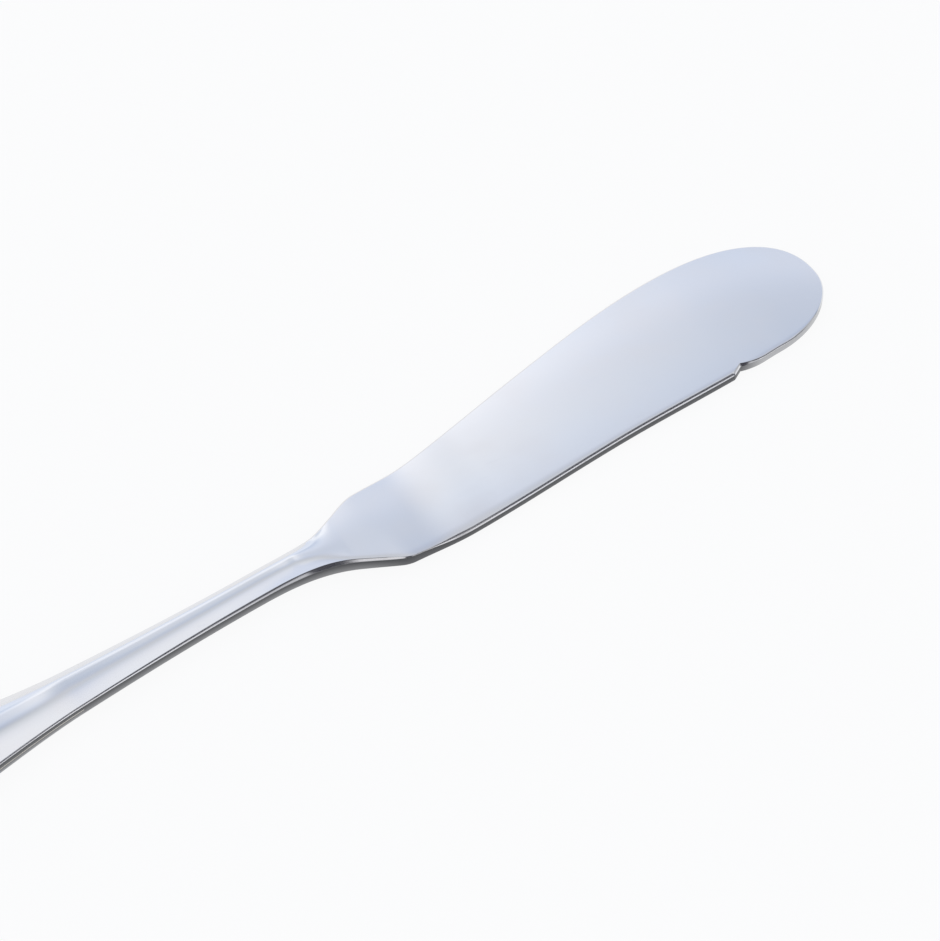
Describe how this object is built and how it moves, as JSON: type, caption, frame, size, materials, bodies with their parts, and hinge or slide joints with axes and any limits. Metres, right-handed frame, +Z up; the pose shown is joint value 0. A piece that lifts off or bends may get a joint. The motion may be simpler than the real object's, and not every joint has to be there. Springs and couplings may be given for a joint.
{
  "type": "butter knife",
  "caption": "Polished steel butter knife with a broad round-tipped blade, a nick in the edge, a slim crowned neck and a hollow handle, lying flat.",
  "frame": {"origin": "middle of the box that the knife fills, on the table it lies on", "axes": "+X from the butt to the tip, +Y from the edge to the spine, +Z up from the table"},
  "size_m": [0.172, 0.021, 0.0062],
  "materials": {
    "blade_steel": "polished stainless steel with fine lengthwise hairlines",
    "handle_steel": "polished stainless steel sheet with fine lengthwise hairlines",
    "braze": "silver braze, ground flush and polished",
    "resin": "cast filler resin"
  },
  "bodies": {
    "root": {"blade": "blade_steel", "upper_handle_shell": "handle_steel", "lower_handle_shell": "handle_steel", "seam_braze": "braze", "handle_filler": "resin"}
  },
  "joints": []
}
